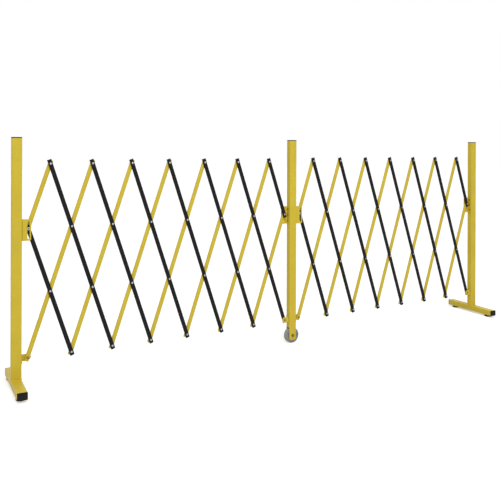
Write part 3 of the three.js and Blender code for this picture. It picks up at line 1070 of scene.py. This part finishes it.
def tube(width, height, origin, across, along, out, length):
    """A length of the tube stock: its outer outline carried along it, and its inner one back."""
    outer = rounded_rectangle(width, height, tube_corner)
    inside = width - 2 * tube_wall, height - 2 * tube_wall
    inner = rounded_rectangle(*inside, tube_corner - tube_wall)
    grid = stacked(wall_levels(outer, inner, length), origin, across, along, out)
    return patch(grid, wrap_rows=True, wrap_columns=True)


def end_plug(origin, across, along, out, width, height):
    """A moulded plug: a crowned plate whose rim follows a quarter circle, and a hollow insert
    below it. `inset` draws a level in from the tube's outline."""
    angle = np.linspace(0, np.pi / 2, corner_steps + 1)
    insets = plug_edge_round * (1 - np.sin(angle))
    heights = plug_plate - plug_crown - plug_edge_round * (1 - np.cos(angle))

    def ring(inset, level):
        corner = max(tube_corner - inset, smallest_corner)
        return rounded_rectangle(width - 2 * inset, height - 2 * inset, corner), level

    middle = np.zeros_like(rounded_rectangle(width, height, tube_corner))
    stem = tube_wall + seat_gap
    levels = [
        (middle, plug_plate),
        *[ring(inset, level) for inset, level in zip(insets, heights)],
        ring(0, 0),
        ring(stem, 0),
        ring(stem, -plug_length),
        ring(stem + plug_wall, -plug_length),
        ring(stem + plug_wall, 0),
        (middle, 0),
    ]
    return patch(stacked(levels, origin, across, along, out), wrap_columns=True)


def weld_bead(origin):
    """A bead round the foot of a post: a rounded section carried round the tube's outline. Its
    radius ripples as radius - ripple * (1 - |sin(pi * count * distance / length)|)."""
    path = rounded_rectangle(post_width, post_depth, tube_corner)
    closed = np.vstack([path, path[:1]])
    run = np.concatenate([[0], np.cumsum(np.linalg.norm(np.diff(closed, axis=0), axis=1))])
    places = np.linspace(0, run[-1], weld_steps, endpoint=False)
    line = np.stack([np.interp(places, run, closed[:, axis]) for axis in (0, 1)], axis=1)
    tangent = np.roll(line, -1, axis=0) - np.roll(line, 1, axis=0)
    tangent /= np.linalg.norm(tangent, axis=1, keepdims=True)
    outward = np.stack([tangent[:, 1], -tangent[:, 0]], axis=1)
    ripple = np.abs(np.sin(places / run[-1] * np.pi * weld_ripples))
    radius = weld_radius + weld_ripple * (ripple - 1)
    turn = np.linspace(weld_first_turn, weld_last_turn, weld_section_points)
    out = radius[None, :] * np.cos(turn)[:, None]
    up = radius[None, :] * np.sin(turn)[:, None]
    flat = line[None, :, :] + out[..., None] * outward[None, :, :]
    grid = np.concatenate([flat, up[..., None]], axis=-1) + origin
    inner = np.concatenate([line, np.zeros((weld_steps, 1))], axis=1)[None] + origin
    return patch(np.concatenate([grid, inner]), wrap_rows=True, wrap_columns=True)


def pad(centre):
    """A turned rubber pad with a rounded foot, a recessed sole and the stem that holds it."""
    top = pad_height - seat_gap
    outline = [
        (0, pad_sole_rise, 0),
        (pad_sole_radius, pad_sole_rise, pad_sole_round),
        (pad_sole_radius + pad_sole_rise, 0, pad_sole_round),
        (pad_radius, 0, pad_foot_round),
        (pad_radius, top, pad_top_round),
        (pad_stem_radius, top, 0),
        (pad_stem_radius, top + pad_stem_rise, pad_top_round),
        (0, top + pad_stem_rise, 0),
    ]
    corners = [corner[:2] for corner in outline]
    radii = [corner[2] for corner in outline]
    return revolved(rounded(corners, radii), centre, Z, big_round_sides)


def build_foot(side, body):
    """A foot across the barrier: the tube laid along Y, its two plugs and its two pads."""
    low, high = node_box(f"{side}_foot")
    centre = (low + high) / 2
    length = high[1] - low[1]
    start = np.array((centre[0], low[1], centre[2]))
    add_piece(
        f"{side}_foot_tube",
        [tube(post_width, foot_height, start, X, Z, Y, length)],
        yellow_coat,
        body,
        [f"{side}_foot"],
        edge=tube_edge_round,
    )
    for end, out in (("front", -Y), ("back", Y)):
        face = centre + out * (length / 2 + seat_gap)
        add_piece(
            f"{side}_foot_{end}_plug",
            [end_plug(face, X, np.cross(out, X), out, post_width, foot_height)],
            black_plastic,
            body,
            [f"{side}_foot_{end}_cap"],
        )
        low, high = node_box(f"{side}_foot_{end}_pad")
        base = np.array(((low[0] + high[0]) / 2, (low[1] + high[1]) / 2, low[2]))
        add_piece(
            f"{side}_foot_{end}_rubber_pad",
            [pad(base)],
            pad_rubber,
            body,
            [f"{side}_foot_{end}_pad"],
        )


def build_top_plug(name, post_x, tube_top, body):
    """The plug in the top of a post."""
    face = np.array((post_x, 0, tube_top + seat_gap))
    plug = end_plug(face, X, Y, Z, post_width, post_depth)
    add_piece(f"{name}_plug", [plug], black_plastic, body, [f"{name}_top_cap"])


def build_outer_post(side, bracket_side):
    """An outer post on its foot: tube, weld bead, plug, foot and brackets."""
    body = f"{side}_post_set"
    low, high = node_box(f"{side}_post")
    post_x = (low[0] + high[0]) / 2
    start = np.array((post_x, 0, low[2]))
    add_piece(
        f"{side}_post_tube",
        [tube(post_width, post_depth, start, X, Y, Z, high[2] - low[2])],
        yellow_coat,
        body,
        [f"{side}_post"],
        edge=tube_edge_round,
    )
    bead_place = np.array((post_x, 0, foot_top))
    add_piece(f"{side}_post_weld", [weld_bead(bead_place)], yellow_coat, body)
    build_top_plug(f"{side}_post", post_x, high[2], body)
    build_foot(side, body)
    build_bracket_pair(f"{side}_post", post_x, bracket_side, body)


def fork_tongue(post_x, front, bottom, top):
    """One wall of the middle post below its sides: the wall's section with its two corner arcs,
    carried from its foot's round corners up. At a corner the foot's height is
    bottom + corner - sqrt(corner^2 - (x - arc centre)^2)."""
    half = post_width / 2
    outer_y = post_depth / 2
    inner_y = outer_y - tube_wall
    arc_rise = tube_corner - tube_wall
    edge_x = half - tube_corner + math.sqrt(tube_corner**2 - arc_rise**2)
    share = np.linspace(-1, 1, tongue_steps + 1)
    x = edge_x * np.sin(share * np.pi / 2)
    past = np.clip(np.abs(x) - (half - tube_corner), 0, None)
    y_outer = outer_y - tube_corner + np.sqrt(tube_corner**2 - past**2)
    reach = np.clip(np.abs(x) - (edge_x - fork_corner), 0, None)
    foot_z = bottom + fork_corner - np.sqrt(np.clip(fork_corner**2 - reach**2, 0, None))

    def line(y, z):
        return np.stack(np.broadcast_arrays(post_x + x, front * y, z), axis=-1)

    return open_wall(np.stack([
        line(y_outer, foot_z),
        line(y_outer, top),
        line(inner_y, top),
        line(inner_y, foot_z),
    ]))


def build_middle_post():
    """The middle post: tube, two tongues round the wheel, plug and both pairs of brackets."""
    body = "middle_post_set"
    low, high = node_box("middle_post")
    post_x = (low[0] + high[0]) / 2
    side_wall = post_width / 2 - tube_wall
    cut_top = wheel_radius + math.sqrt(wheel_radius**2 - side_wall**2) + fork_gap
    start = np.array((post_x, 0, cut_top))
    parts = [
        tube(post_width, post_depth, start, X, Y, Z, high[2] - cut_top),
        fork_tongue(post_x, -1, low[2], cut_top),
        fork_tongue(post_x, 1, low[2], cut_top),
    ]
    add_piece("middle_post_tube", parts, yellow_coat, body, ["middle_post"])
    build_top_plug("middle_post", post_x, high[2], body)
    build_bracket_pair("middle_post_left", post_x, -1, body)
    build_bracket_pair("middle_post_right", post_x, 1, body)


# Wheel

def hexagon_prism(centre, axis, flats, base, top, bore=0.0):
    """A hexagon whose corner radius is (flats / 2) / cos(angle from the nearest flat). Beyond
    its inscribed circle the top falls by the chamfer's slope."""
    turn = np.linspace(0, 2 * np.pi, big_round_sides, endpoint=False)
    flat_turn = np.pi / 3
    from_flat = (turn + flat_turn / 2) % flat_turn - flat_turn / 2
    corner = flats / 2 / np.cos(from_flat)
    inscribed = np.full_like(turn, flats / 2 - hex_edge_inset)
    toward = np.sign(top - base)
    edge_top = top - toward * (corner - inscribed) * math.tan(hex_chamfer_angle)
    inside = np.full_like(turn, bore)
    levels = [
        (inside, np.full_like(turn, base)),
        (corner, np.full_like(turn, base)),
        (corner, edge_top),
        (inscribed, np.full_like(turn, top)),
        (inside, np.full_like(turn, top)),
    ]
    circle = np.cos(turn)[:, None] * X + np.sin(turn)[:, None] * np.cross(axis, X)
    rows = [
        centre + radius[:, None] * circle + height[:, None] * axis
        for radius, height in levels
    ]
    return patch(np.stack(rows), wrap_rows=bore > 0, wrap_columns=True)


def threaded_shank(centre, start, plain_end, end):
    """The axle: a plain bar, then a thread whose radius is
    axle radius - depth / 2 * (1 - cos(2 pi * distance / pitch - turn))."""
    turn = np.linspace(0, 2 * np.pi, small_round_sides, endpoint=False)
    count = int(round((end - plain_end) / thread_pitch * thread_steps))
    distance = np.concatenate([[start], np.linspace(plain_end, end, count)])
    wave = 2 * np.pi * (distance[:, None] - plain_end) / thread_pitch - turn[None, :]
    depth = np.where(distance > plain_end, thread_depth / 2, 0)[:, None] * (1 - np.cos(wave))
    radius = axle_radius - depth
    circle = np.cos(turn)[:, None] * X + np.sin(turn)[:, None] * Z
    grid = centre + distance[:, None, None] * Y + radius[..., None] * circle[None]
    first = np.broadcast_to(centre + start * Y, circle.shape)[None]
    last = np.broadcast_to(centre + end * Y, circle.shape)[None]
    return patch(np.concatenate([first, grid, last]), wrap_columns=True)


def mirrored(half):
    """The other half of a profile of (radius, distance), in the opposite order."""
    return [(radius, -distance) for radius, distance in half[::-1]]


def wheel_ring(corners, radii, centre):
    """A ring of the wheel, turned from a closed profile about its axle."""
    profile = rounded(corners, radii, closed=True)
    return revolved(profile, centre, Y, big_round_sides, ring=True)


def build_wheel():
    """The wheel between the tongues: grooved tyre, flanged hub, bolt and nut."""
    centre = joint_places["wheel_spin"]
    half = fork_inside / 2 - tyre_side_gap
    bore = wheel_radius - tyre_depth + seat_gap
    groove_floor = wheel_radius - tyre_groove
    right_tread = [
        (groove_floor, tyre_groove_floor_half),
        (wheel_radius, tyre_groove_half),
        (wheel_radius, half),
        (bore, half),
    ]
    right_radii = [0, tyre_groove_round, tyre_shoulder, 0]
    tread = mirrored(right_tread) + right_tread
    tyre = wheel_ring(tread, right_radii[::-1] + right_radii, centre)
    add_piece("wheel_tyre_ring", [tyre], tyre_rubber, "wheel", ["wheel_tyre"])
    rim = wheel_radius - tyre_depth
    boss = fork_inside / 2 - running_gap
    web = hub_web / 2
    right_hub = [
        (axle_radius + running_gap, boss),
        (hub_boss_radius, boss),
        (hub_boss_radius, web),
        (rim - hub_rim_depth, web),
        (rim - hub_rim_depth, half),
        (rim, half),
    ]
    hub_ring = wheel_ring(right_hub + mirrored(right_hub), hub_round, centre)
    add_piece("wheel_hub_moulding", [hub_ring], hub_plastic, "wheel", ["wheel_hub"])
    face = post_depth / 2 + seat_gap
    nut_end = face + axle_nut_height
    bolt = [
        hexagon_prism(centre, Y, axle_head_flats, -face, -face - axle_head_height),
        threaded_shank(centre, -face - axle_head_height / 2, face, nut_end + seat_gap + axle_tail),
    ]
    add_piece("wheel_bolt", bolt, bolt_steel, "middle_post_set", ["wheel_axle_bolt"])
    nut = hexagon_prism(centre, Y, axle_head_flats, face, nut_end, axle_radius + seat_gap)
    add_piece("wheel_nut", [nut], zinc_steel, "middle_post_set", ["wheel_axle_nut"])


build_outer_post("left", 1)
build_outer_post("right", -1)
build_middle_post()
build_wheel()
build_lattice("left")
build_lattice("right")


# Stage

def show_white(tree, plain, bright):
    """The plain shader for light that falls on things, and the bright one for camera, glossy
    and transmission rays."""
    path = add_node(tree, "ShaderNodeLightPath", {}).outputs
    seen = calculate(tree, "MAXIMUM", path["Is Camera Ray"], path["Is Glossy Ray"])
    seen = calculate(tree, "MAXIMUM", seen, path["Is Transmission Ray"])
    return add_node(tree, "ShaderNodeMixShader", {0: seen, 1: plain, 2: bright}).outputs[0]


def build_floor():
    """A pale floor that keeps the shadow and looks white to the camera and to shiny metal."""
    corners = np.array([(-1, -1), (1, -1), (1, 1), (-1, 1)]) * floor_half
    points = np.concatenate([corners, np.full((4, 1), -floor_drop)], axis=1)
    mesh = bpy.data.meshes.new("floor")
    mesh.from_pydata(points.tolist(), [], [(0, 1, 2, 3)])
    floor = bpy.data.objects.new("floor", mesh)
    bpy.context.scene.collection.objects.link(floor)
    material, tree = new_material("pale floor")
    tree.nodes.clear()
    pale = add_node(tree, "ShaderNodeBsdfDiffuse", {"Color": linear(floor_colour)}).outputs[0]
    glow = add_node(tree, "ShaderNodeEmission", {"Strength": floor_glow}).outputs[0]
    both = add_node(tree, "ShaderNodeAddShader", {0: pale, 1: glow}).outputs[0]
    add_node(tree, "ShaderNodeOutputMaterial", {"Surface": show_white(tree, pale, both)})
    mesh.materials.append(material)


def build_sky():
    """A white world to the camera and in reflections, and a dimmer even light on surfaces."""
    world = bpy.data.worlds.new("studio")
    bpy.context.scene.world = world
    world.use_nodes = True
    tree = world.node_tree
    tree.nodes.clear()
    soft, bright = [
        add_node(tree, "ShaderNodeBackground", {"Color": white, "Strength": strength}).outputs[0]
        for strength in (sky_strength, 1.0)
    ]
    add_node(tree, "ShaderNodeOutputWorld", {"Surface": show_white(tree, soft, bright)})


def build_lights():
    """A broad soft key from the front left, above, a broader and weaker fill from behind, and a
    nearer square lamp that lights the upper part of the barrier more than its feet."""
    lamp = bpy.data.lights.new("front lamp", "AREA")
    lamp.energy = lamp_power
    lamp.size = lamp_size
    lights = [(lamp, Vector(lamp_place) - Vector(lamp_aim))]
    for name, strength, angle, direction in (
        ("key", key_strength, key_angle, key_direction),
        ("back fill", fill_strength, fill_angle, fill_direction),
    ):
        sun = bpy.data.lights.new(name, "SUN")
        sun.energy = strength
        sun.angle = angle
        lights.append((sun, Vector(direction)))
    for light, toward in lights:
        holder = bpy.data.objects.new(light.name, light)
        holder.rotation_euler = toward.to_track_quat("Z", "Y").to_euler()
        holder.location = lamp_place
        bpy.context.scene.collection.objects.link(holder)


def build_camera():
    """A level camera at the photograph's place, turned towards +X from straight along +Y."""
    lens = bpy.data.cameras.new("camera")
    lens.lens = camera_lens
    lens.sensor_width = camera_sensor
    lens.sensor_fit = "HORIZONTAL"
    lens.shift_y = camera_shift_up
    camera = bpy.data.objects.new("camera", lens)
    camera.matrix_world = (
        Matrix.Translation(camera_place)
        @ Matrix.Rotation(-camera_turn, 4, "Z")
        @ Matrix.Rotation(math.pi / 2, 4, "X")
        @ Matrix.Rotation(camera_roll, 4, "Z")
    )
    bpy.context.scene.collection.objects.link(camera)
    bpy.context.scene.camera = camera


build_floor()
build_sky()
build_lights()
build_camera()
bpy.context.scene.view_settings.view_transform = "Standard"
